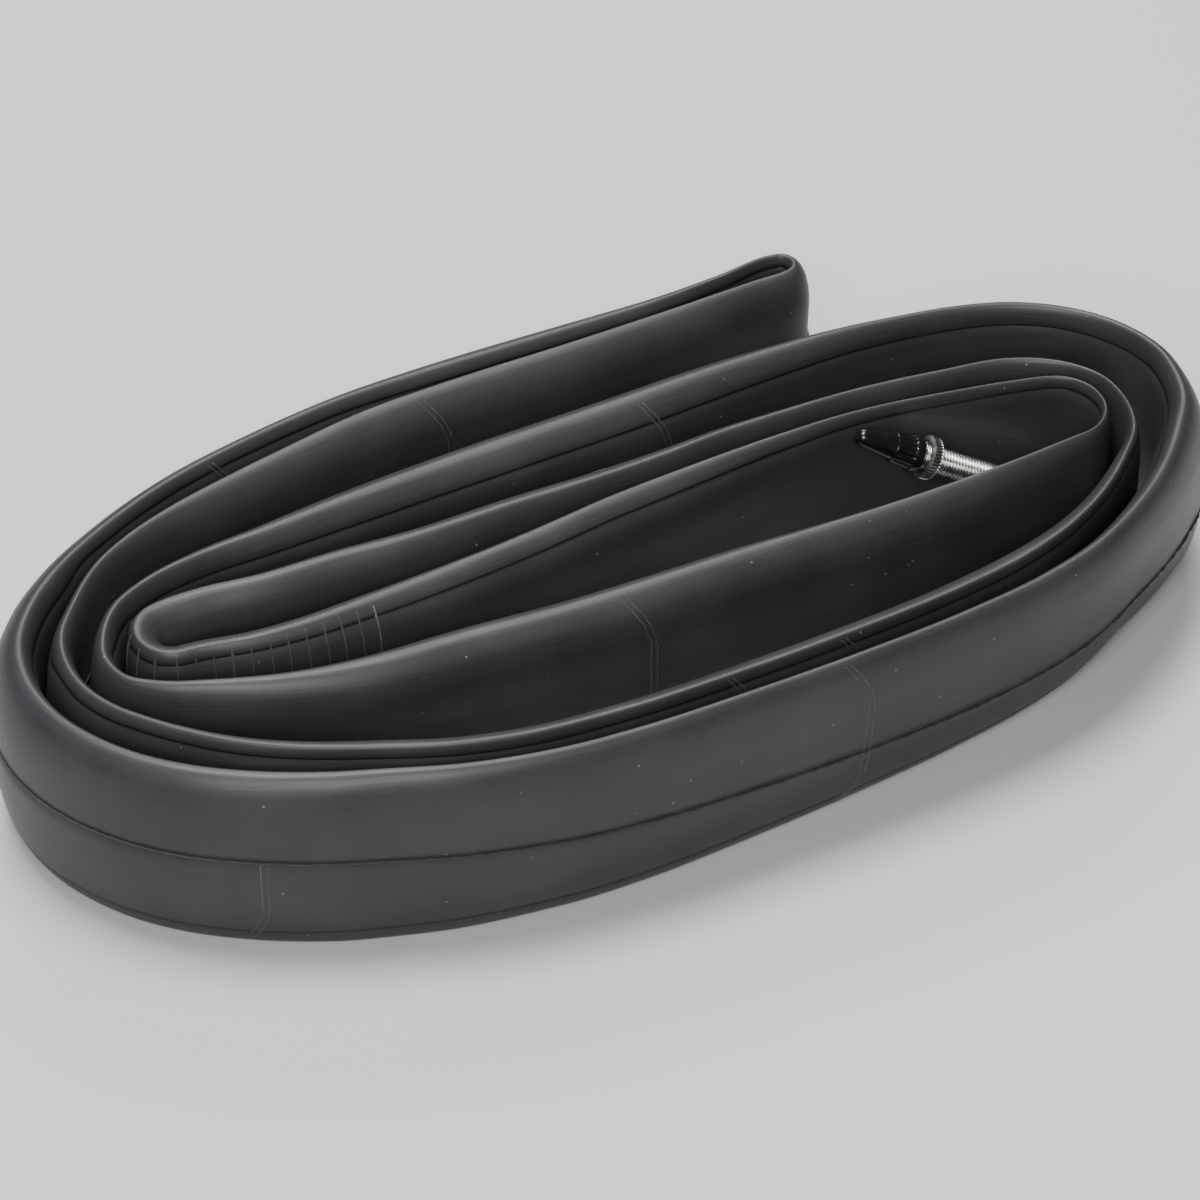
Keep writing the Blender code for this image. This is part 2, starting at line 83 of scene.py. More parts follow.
def add_node(tree, kind, settings=None, links=None):
    """One shader node, with its settings by name and its inputs as values or other sockets."""
    node = tree.nodes.new(kind)
    for name, value in (settings or {}).items():
        setattr(node, name, value)
    for name, value in (links or {}).items():
        if isinstance(value, bpy.types.NodeSocket):
            tree.links.new(value, node.inputs[name])
        else:
            node.inputs[name].default_value = value
    return node


TABLE_SIZE = 6.0
TABLE_DROP = 0.0002
ROOM_LIGHT = 0.06
bpy.ops.object.select_all(action="DESELECT")
bpy.ops.mesh.primitive_plane_add(size=TABLE_SIZE, location=(0.0, 0.0, -TABLE_DROP))
table = bpy.context.object
table.name = "table"
table_paint = bpy.data.materials.new("matt_table_paint")
table_paint.use_nodes = True
table_shader = table_paint.node_tree.nodes["Principled BSDF"]
table_shader.inputs["Base Color"].default_value = linear("c0c0c0")
table_shader.inputs["Roughness"].default_value = 0.9
table.data.materials.append(table_paint)

world = bpy.data.worlds.new("dim_white_room")
bpy.context.scene.world = world
world.use_nodes = True
walls = world.node_tree.nodes["Background"]
walls.inputs["Color"].default_value = linear("ffffff")
walls.inputs["Strength"].default_value = ROOM_LIGHT


def soft_box(name, place, size, watts):
    """A rectangular area light that faces the bundle."""
    light = bpy.data.lights.new(name, "AREA")
    light.shape = "RECTANGLE"
    light.size = size[0]
    light.size_y = size[1]
    light.energy = watts
    lamp = bpy.data.objects.new(name, light)
    lamp.location = place
    lamp.rotation_euler = Vector(place).to_track_quat("Z", "Y").to_euler()
    bpy.context.scene.collection.objects.link(lamp)


soft_box("overhead_box", (-0.05, 0.22, 1.2), (0.6, 0.4), 22.0)
soft_box("front_box", (-0.5, -0.75, 0.85), (0.5, 0.5), 13.5)
soft_box("back_box", (0.45, 0.85, 0.95), (0.7, 0.35), 10.0)


# Inner tube: one endless ring of butyl rubber with a 0.9 mm wall, moulded and cured in a steel
# mould, then emptied of air, flattened and folded into an S-shaped bundle that stands on its edge.

# Sizes here and in the pieces below are in millimetres. The route is drawn round MIDDLE, which
# stands at the frame's origin, and FOLD is the centre of the fold beyond the valve.
MM = 0.001
HALF_LENGTH = 136.0
HALF_DEPTH = 66.0
MIDDLE = Vector((-0.53, 0.93))
FOLD = Vector((102.3, -16.0))
FOLD_RADIUS = 10.4
FOLD_THICKNESS = 3.2
ROUTE_STEP = 0.25


def arc(x, y, radius, start, end, thickness, points):
    """Points of a round fold, as (x, y, thickness), from one angle in degrees to another."""
    angles = [start + (end - start) * i / (points - 1) for i in range(points)]
    return [
        (x + radius * cos(radians(a)), y + radius * sin(radians(a)), thickness) for a in angles
    ]


def route():
    """The ring's centre line through the bundle, once round, as (x, y, thickness) in millimetres.

    The tread side of the rubber is on the right of the direction of travel.
    """
    back_outer = [
        (60.0, 59.9, 4.6), (45.0, 59.8, 6.6), (25.0, 61.0, 8.5), (5.0, 62.2, 9.4),
        (-15.0, 62.8, 9.2), (-35.0, 62.2, 7.4), (-57.0, 59.4, 6.8), (-81.0, 54.2, 7.2),
        (-98.0, 47.6, 7.6), (-113.2, 39.2, 8.0), (-121.8, 32.0, 8.6), (-128.8, 22.2, 9.2),
    ]
    left_end_outer = [
        (-131.8, 8.0, 9.2), (-130.2, -3.0, 8.8), (-126.2, -12.4, 8.4),
        (-120.4, -21.0, 8.2), (-113.8, -27.8, 8.2), (-103.6, -35.6, 8.0),
    ]
    front_outer = [
        (-88.5, -44.2, 7.2), (-79.2, -48.3, 6.8), (-64.1, -54.7, 6.3), (-42.2, -60.4, 6.3),
        (-27.5, -62.2, 6.3), (0.5, -63.5, 6.5), (26.3, -63.8, 6.8), (53.0, -62.9, 7.2),
        (71.2, -60.9, 7.6), (87.2, -56.8, 8.2), (101.3, -50.0, 8.8), (111.6, -43.2, 9.4),
        (123.7, -31.8, 10.0), (130.9, -22.5, 9.0),
    ]
    right_end = [
        (133.4, -13.5, 6.8), (133.7, -9.0, 6.0), (132.6, -3.0, 5.4), (128.8, 5.7, 5.2),
        (123.2, 12.7, 5.2), (113.5, 20.0, 5.0),
    ]
    middle_back = [
        (100.2, 25.2, 4.8), (88.7, 27.7, 4.5), (76.8, 29.7, 4.4), (51.0, 31.6, 4.6),
        (14.6, 31.4, 4.3), (-20.0, 31.4, 4.3), (-50.0, 30.4, 4.2), (-70.0, 29.2, 4.4),
        (-85.0, 28.6, 4.6), (-97.0, 26.6, 5.0), (-106.9, 22.2, 6.0), (-112.4, 15.6, 6.6),
    ]
    left_end_inner = [(-115.0, 8.5, 6.6), (-113.8, 1.7, 6.4), (-108.0, -3.8, 6.0)]
    valve_front = [
        (-99.0, -8.5, 5.2), (-81.2, -15.4, 4.6), (-64.4, -18.8, 4.3), (-50.0, -20.2, 4.0),
        (-22.0, -23.4, 3.7), (20.0, -25.4, 3.4), (60.0, -27.2, 3.3), (85.0, -27.1, 3.3),
    ]
    valve_fold = arc(*FOLD, FOLD_RADIUS, -95.0, 70.0, FOLD_THICKNESS, 12)
    valve_back = [
        (100.0, -4.4, 3.2), (85.0, -0.8, 3.2), (60.5, 3.5, 3.2), (43.0, 4.3, 3.2),
        (19.7, 4.1, 3.3), (0.8, 3.3, 3.4), (-18.7, 1.2, 3.5), (-37.0, -0.2, 3.6),
        (-60.0, -1.2, 3.8), (-74.2, -1.5, 3.9), (-85.4, -0.6, 4.1),
    ]
    small_fold = arc(-98.8, 10.3, 8.1, 275.0, 90.0, 4.7, 9)
    middle_front = [
        (-90.0, 18.2, 4.3), (-76.6, 16.0, 4.0), (-59.0, 14.7, 4.0), (-43.9, 12.8, 4.0),
        (-16.8, 11.8, 4.0), (3.4, 10.8, 4.0), (18.4, 10.8, 4.0), (32.6, 11.5, 4.0),
        (48.6, 11.2, 4.0), (65.7, 10.2, 4.0), (85.0, 7.2, 4.0), (102.4, 3.2, 4.0),
        (108.9, -0.6, 4.0), (113.8, -5.6, 4.0), (116.7, -11.0, 4.1), (117.3, -18.0, 4.2),
        (114.4, -28.0, 4.6),
    ]
    front_inner = [
        (106.0, -36.8, 4.6), (97.1, -43.6, 4.4), (84.6, -50.0, 4.4), (69.9, -54.3, 4.3),
        (52.4, -56.6, 4.3), (26.2, -57.7, 4.2), (0.3, -57.6, 4.2), (-27.1, -56.4, 4.0),
        (-50.1, -53.0, 4.0), (-62.6, -49.2, 3.9), (-76.9, -42.6, 4.0), (-91.4, -34.6, 4.6),
        (-100.2, -28.2, 5.2),
    ]
    left_end_middle = [
        (-109.6, -19.0, 5.8), (-115.2, -12.0, 6.2), (-119.6, -5.2, 6.7), (-122.6, 3.5, 6.9),
        (-122.8, 10.5, 6.9), (-120.4, 19.3, 6.6), (-114.8, 26.6, 6.2),
    ]
    back_inner = [
        (-104.2, 36.5, 5.0), (-93.4, 41.9, 4.6), (-82.9, 45.3, 4.4), (-69.0, 48.4, 4.3),
        (-53.8, 51.2, 4.2), (-34.2, 54.2, 4.0), (-10.0, 54.8, 3.8), (15.0, 54.2, 3.6),
        (45.0, 54.0, 3.4), (66.0, 54.2, 3.3),
    ]
    tight_fold = arc(73.6, 57.3, 3.1, -85.0, 85.0, 3.4, 9)
    stretches = [
        back_outer, left_end_outer, front_outer, right_end, middle_back, left_end_inner,
        valve_front, valve_fold, valve_back, small_fold, middle_front, front_inner,
        left_end_middle, back_inner, tight_fold,
    ]
    return [point for stretch in stretches for point in stretch]


def smooth_loop(points, spacing):
    """A closed cubic curve through the points, sampled about every spacing millimetres."""
    count = len(points)
    knots = [Vector(p) for p in points]
    chords = [(knots[(i + 1) % count] - knots[i]).xy.length for i in range(count)]
    slopes = [(knots[(i + 1) % count] - knots[i]) / chords[i] for i in range(count)]
    tangents = [
        (slopes[i - 1] * chords[i] + slopes[i] * chords[i - 1]) / (chords[i - 1] + chords[i])
        for i in range(count)
    ]
    samples = []
    for i in range(count):
        after = (i + 1) % count
        pieces = max(1, round(chords[i] / spacing))
        for step in range(pieces):
            u = step / pieces
            here = knots[i] * (2 * u**3 - 3 * u**2 + 1) + knots[after] * (3 * u**2 - 2 * u**3)
            pull = tangents[i] * (u**3 - 2 * u**2 + u) + tangents[after] * (u**3 - u**2)
            samples.append(here + pull * chords[i])
    return samples


def ramp(value, low, high):
    """0 below low, 1 above high and a smooth rise between."""
    u = min(1.0, max(0.0, (value - low) / (high - low)))
    return u * u * (3.0 - 2.0 * u)


# The front laps lean back, and the outermost lap spreads its foot at the left end. Each pair is
# where such a change begins and where it is complete, and the right end turns about RIGHT_PIVOT.
LEAN = 8.0
LEAN_ALONG = (-80.0, 100.0)
LEAN_LAPS = (26.0, 34.0)
LEAN_ROUND_END = (15.0, 52.0)
LEAN_TURN = 45.0
LEAN_TURN_ALONG = (40.0, 120.0)
RIGHT_PIVOT = 60.0
SPREAD = 2.8
SPREAD_ALONG = (45.0, 90.0)
SPREAD_OUTERMOST = (0.82, 0.86)


def lean(x, y):
    """How far the bottom edge stands from below the top edge, as a plan vector in millimetres."""
    past_right = degrees(Vector((1.0, 0.0)).angle(Vector((x - RIGHT_PIVOT, y)), 0.0))
    front = ramp(x, *LEAN_ALONG) * ramp(-y, *LEAN_LAPS) * ramp(past_right, *LEAN_ROUND_END)
    outward = radians(-90.0 + LEAN_TURN * ramp(x, *LEAN_TURN_ALONG))
    out_front = Vector((cos(outward), sin(outward)))
    out_left = Vector((x / HALF_LENGTH**2, y / HALF_DEPTH**2)).normalized()
    reach = (x / HALF_LENGTH) ** 2 + (y / HALF_DEPTH) ** 2
    foot = ramp(-x, *SPREAD_ALONG) * ramp(reach, *SPREAD_OUTERMOST)
    return out_left * SPREAD * foot - out_front * LEAN * front


EDGE_HEIGHT = 47.8
HEIGHT_LOSS = 0.3


def edge_height(thickness):
    """A flattened tube is tallest where it is thinnest."""
    return EDGE_HEIGHT - HEIGHT_LOSS * thickness


# The parting line sits lower on the front laps, and at its own height on the lap before the valve.
CREASE = 26.0
CREASE_DROP = 9.0
CREASE_DROP_ALONG = (-110.0, 70.0)
CREASE_DROP_LAPS = (0.0, 20.0)
CREASE_BY_VALVE = 17.8
VALVE_LAP_BACK = (8.0, 16.0)
VALVE_LAP_FRONT = (-36.0, -30.0)
VALVE_LAP_ENDS = (-92.0, -80.0)


def crease_height(x, y):
    """Height of the mould's parting line on the tread side."""
    height = CREASE - CREASE_DROP * ramp(x, *CREASE_DROP_ALONG) * ramp(-y, *CREASE_DROP_LAPS)
    by_valve = ramp(-y, *VALVE_LAP_BACK) * ramp(y, *VALVE_LAP_FRONT)
    by_valve *= ramp(-abs(x), *VALVE_LAP_ENDS)
    return height + (CREASE_BY_VALVE - height) * by_valve


# A section is a squared oval, and the thinner it is, the flatter its two faces are.
SQUARENESS = 2.3
THIN_SQUARENESS = 16.0


def half_width(thickness, height_share):
    """Half the section's thickness at a share -1 to 1 of its half height."""
    squareness = SQUARENESS + THIN_SQUARENESS / thickness**2
    return 0.5 * thickness * sqrt(max(0.0, 1.0 - abs(height_share) ** squareness))


# A face bellies most at half height, and its top edge rolls outward and fades into the face.
BELLY_POWER = 0.75
ROLL_DEPTH = 5.0
ROLL_FADE = 19.0
ROLL_SHARE = 0.42


def swelling(puff, height, tall):
    """How far a face of the limp tube bellies out at a height, with the roll at its top edge."""
    belly = max(0.0, 1.0 - (2.0 * height / tall - 1.0) ** 2) ** BELLY_POWER
    depth = max(0.0, tall - height)
    cap = sqrt(max(0.0, 1.0 - (1.0 - min(depth, ROLL_DEPTH) / ROLL_DEPTH) ** 2))
    roll = ROLL_SHARE * cap * (1.0 - ramp(depth, ROLL_DEPTH, ROLL_FADE))
    return puff * (belly + roll)


# Fine lines that the mould leaves along the rubber: a groove near each edge, and a sharper one
# where the mould's halves part. The plain skin keeps clear of them by the two CLEAR lengths, and
# the rim side's grooves lie lower on the middle back lap and round the right end.
GROOVE = 0.2
GROOVE_CLEAR = 0.7
CREASE_DEPTH = 0.35
CREASE_CLEAR = 0.8
TOP_ROUND = 5.0
TREAD_LINE = 5.2
RIM_LINE = 2.8
RIM_LINE_LOW = 4.9
RIM_LOW_BACK = (10.0, 18.0)
RIM_LOW_FRONT = (-44.0, -38.0)
RIM_LOW_END = (118.0, 126.0)
LINE_STEPS = [-0.55, -0.2, 0.0, 0.2, 0.55]
LINE_DEPTHS = [0.0, 0.7, 1.0, 0.7, 0.0]


def rim_line(x, y):
    """How far below the top edge the rim side's moulded line runs."""
    lower = ramp(y, *RIM_LOW_BACK) * ramp(-y, *RIM_LOW_FRONT) + ramp(x, *RIM_LOW_END)
    return RIM_LINE + (RIM_LINE_LOW - RIM_LINE) * min(1.0, lower)


def even(low, high, count):
    """Plain heights spread evenly between two others, without them."""
    return [(low + (high - low) * (i + 1) / (count + 1), 0.0, 0.0) for i in range(count)]


def rounded(edge, reach, count):
    """Plain heights from an edge of the tube inward, closer together where it is round."""
    return [(edge + reach * (1.0 - cos(0.5 * pi * i / count)), 0.0, 0.0) for i in range(count)]


def moulded_line(height, wide, proud, shade):
    """Five heights that trace one thin line sunk into the skin, with its painted shade."""
    return [(height + wide * s, proud * d, shade * d) for s, d in zip(LINE_STEPS, LINE_DEPTHS)]


def skin(middle, tread_puff, rim_puff):
    """One section of the tube's outside, up the tread side and down the rim side.

    Each of its points is (across, height, painted shade of a moulded line).
    """
    thickness = middle.z
    tall = edge_height(thickness)
    crease = crease_height(middle.x, middle.y)
    tread = rounded(0.0, TREAD_LINE - GROOVE_CLEAR, 7)
    tread += moulded_line(TREAD_LINE, 1.0, -GROOVE, 0.9)
    tread += even(TREAD_LINE + GROOVE_CLEAR, crease - CREASE_CLEAR, 7)
    tread += moulded_line(crease, 0.9, -CREASE_DEPTH, 1.0)
    tread += even(crease + CREASE_CLEAR, tall - TOP_ROUND, 8)
    tread += sorted(rounded(tall, -TOP_ROUND, 8))
    outline = []
    for height, proud, shade in tread:
        share = (height - crease) / (crease if height < crease else tall - crease)
        across = half_width(thickness, share) + swelling(tread_puff, height, tall) + proud
        outline.append((across, height, shade))
    drop = rim_line(middle.x, middle.y)
    rim = rounded(tall, GROOVE_CLEAR - drop, 5)[1:]
    rim += moulded_line(tall - drop, -0.9, -GROOVE, 1.0)
    rim += even(tall - drop - GROOVE_CLEAR, drop + GROOVE_CLEAR, 16)
    rim += moulded_line(drop, -0.9, -GROOVE, 1.0)
    rim += sorted(rounded(0.0, drop - GROOVE_CLEAR, 5), reverse=True)[:-1]
    for height, proud, shade in rim:
        across = half_width(thickness, 2.0 * height / tall - 1.0) + proud
        across += swelling(rim_puff, height, tall)
        outline.append((-across, height, shade))
    return outline


samples = smooth_loop(route(), ROUTE_STEP)
travel = [0.0]
for i in range(len(samples)):
    travel.append(travel[-1] + (samples[(i + 1) % len(samples)] - samples[i]).xy.length)
ring_length = travel[-1]


# The rubber is limp, so its faces belly out where a neighbour leaves room, and hang flat elsewhere.
# Near the valve's fold the rim side stays flat, as the stem needs that room.
PUFF_MOST = 4.4
PUFF_OUTSIDE = 1.6
PUFF_SHARE = 0.4
PUFF_CLEAR = 1.2
PUFF_STEP = 20
LEAST_OVER = 3
SMOOTHING = 5
NEIGHBOUR_STEP = 6
NEIGHBOUR_SPAN = 2.5
FLAT_BY_FOLD = (30.0, 72.0)


def room(i, side):
    """The free width beside the ring at sample i, up to the nearest other lap, or None."""
    here = samples[i]
    along = (samples[(i + 1) % len(samples)] - samples[i - 1]).xy.normalized()
    outward = Vector((along.y, -along.x)) * side
    nearest = None
    for j in range(0, len(samples), NEIGHBOUR_STEP):
        gap = samples[j].xy - here.xy
        ahead = gap.dot(outward)
        if ahead > 0.6 * here.z and abs(gap.dot(along)) < NEIGHBOUR_SPAN:
            free = ahead - 0.5 * (here.z + samples[j].z)
            nearest = free if nearest is None else min(nearest, free)
    return nearest


def puffs(side):
    """How far the face on one side bellies out, for every sample."""
    coarse = []
    for i in range(0, len(samples), PUFF_STEP):
        free = room(i, side)
        if free is None:
            coarse.append(PUFF_OUTSIDE)
        else:
            coarse.append(min(PUFF_MOST, max(0.0, PUFF_SHARE * (free - PUFF_CLEAR))))
        if side < 0.0:
            coarse[-1] *= ramp((samples[i].xy - FOLD).length, *FLAT_BY_FOLD)
    count = len(coarse)
    near = range(-LEAST_OVER, LEAST_OVER + 1)
    low = [min(coarse[(k + d) % count] for d in near) for k in range(count)]
    window = range(-SMOOTHING, SMOOTHING + 1)
    evened = [sum(low[(k + d) % count] for d in window) / len(window) for k in range(count)]
    return [
        evened[min(count - 1, i // PUFF_STEP)] * (1.0 - (i % PUFF_STEP) / PUFF_STEP)
        + evened[(i // PUFF_STEP + 1) % count] * (i % PUFF_STEP) / PUFF_STEP
        for i in range(len(samples))
    ]


tread_puffs = puffs(1.0)
rim_puffs = puffs(-1.0)

# Sections of the loft stand this far apart, or closer where the ring has turned by so many
# degrees. ROUNDING keeps a step from being missed by the last digit of a length.
COARSE_STEP = 2.4
SHARPEST_BEND = 7.0
ROUNDING = 0.01


def chosen_samples():
    """Samples for the loft's sections: close together in the folds, and wider elsewhere."""
    kept = []
    last = -COARSE_STEP
    heading = Vector((1.0, 0.0))
    for i in range(len(samples)):
        along = (samples[(i + 1) % len(samples)] - samples[i - 1]).xy
        far = travel[i] - last >= COARSE_STEP - ROUNDING
        if far or along.angle(heading) > radians(SHARPEST_BEND):
            kept.append(i)
            last = travel[i]
            heading = along
    return kept


def place(i, across, height):
    """The point of the bundle that lies across the centre line from sample i, at a height."""
    middle = samples[i]
    along = (samples[(i + 1) % len(samples)] - samples[i - 1]).xy.normalized()
    tread_side = Vector((along.y, -along.x))
    leaned = lean(middle.x, middle.y) * (1.0 - height / edge_height(middle.z))
    plan = middle.xy + tread_side * across + leaned - MIDDLE
    return Vector((plan.x, plan.y, height)) * MM


def made_piece(name, mesh):
    """A piece in the scene from a finished mesh."""
    data = bpy.data.meshes.new(name)
    mesh.to_mesh(data)
    mesh.free()
    piece = bpy.data.objects.new(name, data)
    bpy.context.scene.collection.objects.link(piece)
    return piece


def new_finish(name):
    """A new material, with its node tree and its shader."""
    finish = bpy.data.materials.new(name)
    finish.use_nodes = True
    return finish, finish.node_tree, finish.node_tree.nodes["Principled BSDF"]


kept = chosen_samples()
tube_mesh = bmesh.new()
grain = tube_mesh.loops.layers.uv.new("along_and_around")
# Each corner carries how much painted shade its moulded line gets.
painted_groove_shade = tube_mesh.verts.layers.float.new("painted_groove_shade")
rings = []
around = []
for i in kept:
    ring = []
    girth = [0.0]
    last_point = None
    for across, height, shade in skin(samples[i], tread_puffs[i], rim_puffs[i]):
        point = place(i, across, height)
        corner = tube_mesh.verts.new(point)
        corner[painted_groove_shade] = shade
        ring.append(corner)
        if last_point:
            girth.append(girth[-1] + (point - last_point).length)
        last_point = point
    rings.append(ring)
    around.append(girth)
for i, ring in enumerate(rings):
    after = (i + 1) % len(rings)
    here = travel[kept[i]] * MM
    there = (travel[kept[after]] if after else ring_length) * MM
    for j in range(len(ring)):
        k = (j + 1) % len(ring)
        face = tube_mesh.faces.new((ring[j], rings[after][j], rings[after][k], ring[k]))
        face.smooth = True
        places = (
            (here, around[i][j]), (there, around[after][j]),
            (there, around[after][k] if k else around[after][j] + MM),
            (here, around[i][k] if k else around[i][j] + MM),
        )
        for corner, uv in zip(face.loops, places):
            corner[grain].uv = uv
butyl_ring = made_piece("butyl_ring", tube_mesh)

# Black butyl, cured against a blasted steel mould: a dark, even charcoal with a satin skin. Draw
# lines run along the ring, and a little talc and dust dulls it in clouds and leaves pale specks.
butyl, tree, shader = new_finish("cured_butyl")
ring_map = add_node(tree, "ShaderNodeUVMap", {"uv_map": "along_and_around"})
space = add_node(tree, "ShaderNodeTexCoord")
# Patterns per metre: draw lines 17 mm long and 0.45 mm wide, clouds of dust 22 mm across, a speck
# in some of the 4 mm cells, and the blasted mould's grain at 0.17 mm. The real grain is finer
# still, and it is drawn this coarse so that it breaks up the highlights.
DRAW_LINES = (60.0, 2200.0, 1.0)
CLOUDS = 45.0
SPECKS = 240.0
GRAIN = 6000.0
streak_map = add_node(
    tree, "ShaderNodeMapping", links={"Vector": ring_map.outputs["UV"], "Scale": DRAW_LINES}
)
streaks = add_node(
    tree, "ShaderNodeTexNoise",
    links={"Vector": streak_map.outputs["Vector"], "Scale": 1.0, "Detail": 3.0},
)
clouds = add_node(
    tree, "ShaderNodeTexNoise",
    links={"Vector": space.outputs["Object"], "Scale": CLOUDS, "Detail": 4.0},
)
specks = add_node(
    tree, "ShaderNodeTexVoronoi", links={"Vector": space.outputs["Object"], "Scale": SPECKS}
)
skin_grain = add_node(
    tree, "ShaderNodeTexNoise",
    links={"Vector": space.outputs["Object"], "Scale": GRAIN, "Detail": 2.0},
)
tone = add_node(
    tree, "ShaderNodeMix", {"data_type": "RGBA"},
    {0: streaks.outputs["Fac"], 6: linear("242527"), 7: linear("2f3032")},
)
dull = add_node(
    tree, "ShaderNodeMapRange",
    links={"Value": clouds.outputs["Fac"], "From Min": 0.42, "From Max": 0.72, "To Max": 0.55},
)
dusty = add_node(
    tree, "ShaderNodeMix", {"data_type": "RGBA"},
    {0: dull.outputs["Result"], 6: tone.outputs[2], 7: linear("38393b")},
)
speck = add_node(
    tree, "ShaderNodeMapRange",
    links={"Value": specks.outputs["Distance"], "From Min": 0.075, "From Max": 0.04, "To Max": 0.8},
)
some = add_node(
    tree, "ShaderNodeMapRange",
    links={"Value": specks.outputs["Color"], "From Min": 0.62, "From Max": 0.7},
)
few_specks = add_node(
    tree, "ShaderNodeMath", {"operation": "MULTIPLY"},
    {0: speck.outputs["Result"], 1: some.outputs["Result"]},
)
speckled = add_node(
    tree, "ShaderNodeMix", {"data_type": "RGBA"},
    {0: few_specks.outputs[0], 6: dusty.outputs[2], 7: linear("7c7c7c")},
)
# Painted shade: the moulded grooves and the parting line are coloured nearly black, for the shade
# that falls in them.
line = add_node(tree, "ShaderNodeAttribute", {"attribute_name": "painted_groove_shade"})
in_line = add_node(
    tree, "ShaderNodeMapRange", links={"Value": line.outputs["Fac"], "To Max": 0.95}
)
shaded_grooves = add_node(
    tree, "ShaderNodeMix", {"data_type": "RGBA"},
    {0: in_line.outputs["Result"], 6: speckled.outputs[2], 7: linear("020202")},
)
tree.links.new(shaded_grooves.outputs[2], shader.inputs["Base Color"])
roughness = add_node(
    tree, "ShaderNodeMapRange",
    links={
        "Value": streaks.outputs["Fac"], "From Min": 0.3, "From Max": 0.7,
        "To Min": 0.41, "To Max": 0.49,
    },
)
tree.links.new(roughness.outputs["Result"], shader.inputs["Roughness"])
fine = add_node(
    tree, "ShaderNodeBump",
    links={"Height": skin_grain.outputs["Fac"], "Strength": 0.25, "Distance": 0.00004},
)
drawn = add_node(
    tree, "ShaderNodeBump",
    links={
        "Height": streaks.outputs["Fac"], "Strength": 0.5, "Distance": 0.00005,
        "Normal": fine.outputs["Normal"],
    },
)
tree.links.new(drawn.outputs["Normal"], shader.inputs["Normal"])
shader.inputs["IOR"].default_value = 1.5
shader.inputs["Specular IOR Level"].default_value = 0.4
butyl_ring.data.materials.append(butyl)
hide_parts("tube")
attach(butyl_ring, "root")


# Mould flash: where the halves of the mould meet, a film of rubber squeezes out along the tread.
# It is torn off by hand, which leaves a low ragged fin, and it is trimmed smooth at the left end.

FLASH_STEP = 0.75
FLASH_PROUD = 0.48
FLASH_ROOT = 0.5
FLASH_THICK = 0.3
FLASH_BEVEL = 0.04
FLASH_SMOOTH_ALONG = (30.0, 60.0)
FLASH_ABOVE_CREASE = 0.22
FLASH_WANDER = 0.16
torn = Random(7)
flash_mesh = bmesh.new()
flash_rings = []
last = -FLASH_STEP
for i in range(len(samples)):
    if travel[i] - last < FLASH_STEP - ROUNDING or travel[i] > ring_length - 0.5 * FLASH_STEP:
        continue
    last = travel[i]
    middle = samples[i]
    smooth_end = ramp(-middle.x, *FLASH_SMOOTH_ALONG)
    proud = FLASH_PROUD * (0.35 + torn.random() * (1.0 - smooth_end) + 0.5 * smooth_end)
    height = crease_height(middle.x, middle.y) + FLASH_ABOVE_CREASE
    height += FLASH_WANDER * (torn.random() - 0.5)
    face_at = 0.5 * middle.z + swelling(tread_puffs[i], height, edge_height(middle.z))
    flash_rings.append(
        [
            flash_mesh.verts.new(place(i, face_at + out, height + up))
            for out, up in (
                (-FLASH_ROOT, -0.5 * FLASH_THICK), (proud, -0.2 * FLASH_THICK),
                (proud - FLASH_BEVEL, 0.2 * FLASH_THICK), (-FLASH_ROOT, 0.5 * FLASH_THICK),
            )
        ]
    )
for i, ring in enumerate(flash_rings):
    following = flash_rings[(i + 1) % len(flash_rings)]
    for j in range(4):
        k = (j + 1) % 4
        flash_mesh.faces.new((ring[j], following[j], following[k], ring[k]))
mould_flash = made_piece("mould_flash", flash_mesh)

# Torn butyl: duller than the moulded skin, and mottled pale where it tore, in 1.1 mm patches.
TEAR_MARKS = 900.0
torn_rubber, tree, shader = new_finish("torn_butyl")
space = add_node(tree, "ShaderNodeTexCoord")
tear = add_node(
    tree, "ShaderNodeTexNoise",
    links={"Vector": space.outputs["Object"], "Scale": TEAR_MARKS, "Detail": 3.0},
)
tear_tone = add_node(
    tree, "ShaderNodeMix", {"data_type": "RGBA"},
    {0: tear.outputs["Fac"], 6: linear("1a1a1b"), 7: linear("474749")},
)
tree.links.new(tear_tone.outputs[2], shader.inputs["Base Color"])
shader.inputs["Roughness"].default_value = 0.6
shader.inputs["IOR"].default_value = 1.5
mould_flash.data.materials.append(torn_rubber)
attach(mould_flash, "root")


# Cross lines: low ridges that the mould's joints left across the rubber, in nine close pairs, and
# the evenly spaced ones that a ribbed jaw pressed round the small fold. Each is a thread of the
# same rubber, drawn a little taller than the real one so that it shows.

JOINT_SWEEP = 6.0
JOINT_REACH = 14.0
JOINT_GAP = 1.3
FULL_HEIGHT = 50.0
TO_CREASE = 25.4
EDGE_CLEAR = 0.9
LINE_HALF = 0.26
LINE_PROUD = 0.13
LINE_SUNK = 0.2
LINE_STEP = 0.8
RIB_START = (-59.0, -1.1)
RIB_PITCH = 3.9
RIB_COUNT = 18
RIB_PROUD = 0.16
line_mesh = bmesh.new()


def sample_at(distance):
    """The first sample past a distance along the ring."""
    return bisect_left(travel, distance % ring_length, 0, len(samples) - 1)


def on_skin(distance, height, side, proud):
    """A point over the skin on one side, at a distance along the ring and a height."""
    i = sample_at(distance)
    middle = samples[i]
    tall = edge_height(middle.z)
    if side > 0.0:
        crease = crease_height(middle.x, middle.y)
        share = (height - crease) / (crease if height < crease else tall - crease)
    else:
        share = 2.0 * height / tall - 1.0
    puff = tread_puffs[i] if side > 0.0 else rim_puffs[i]
    out = half_width(middle.z, share) + swelling(puff, height, tall) + proud
    return place(i, side * out, height)


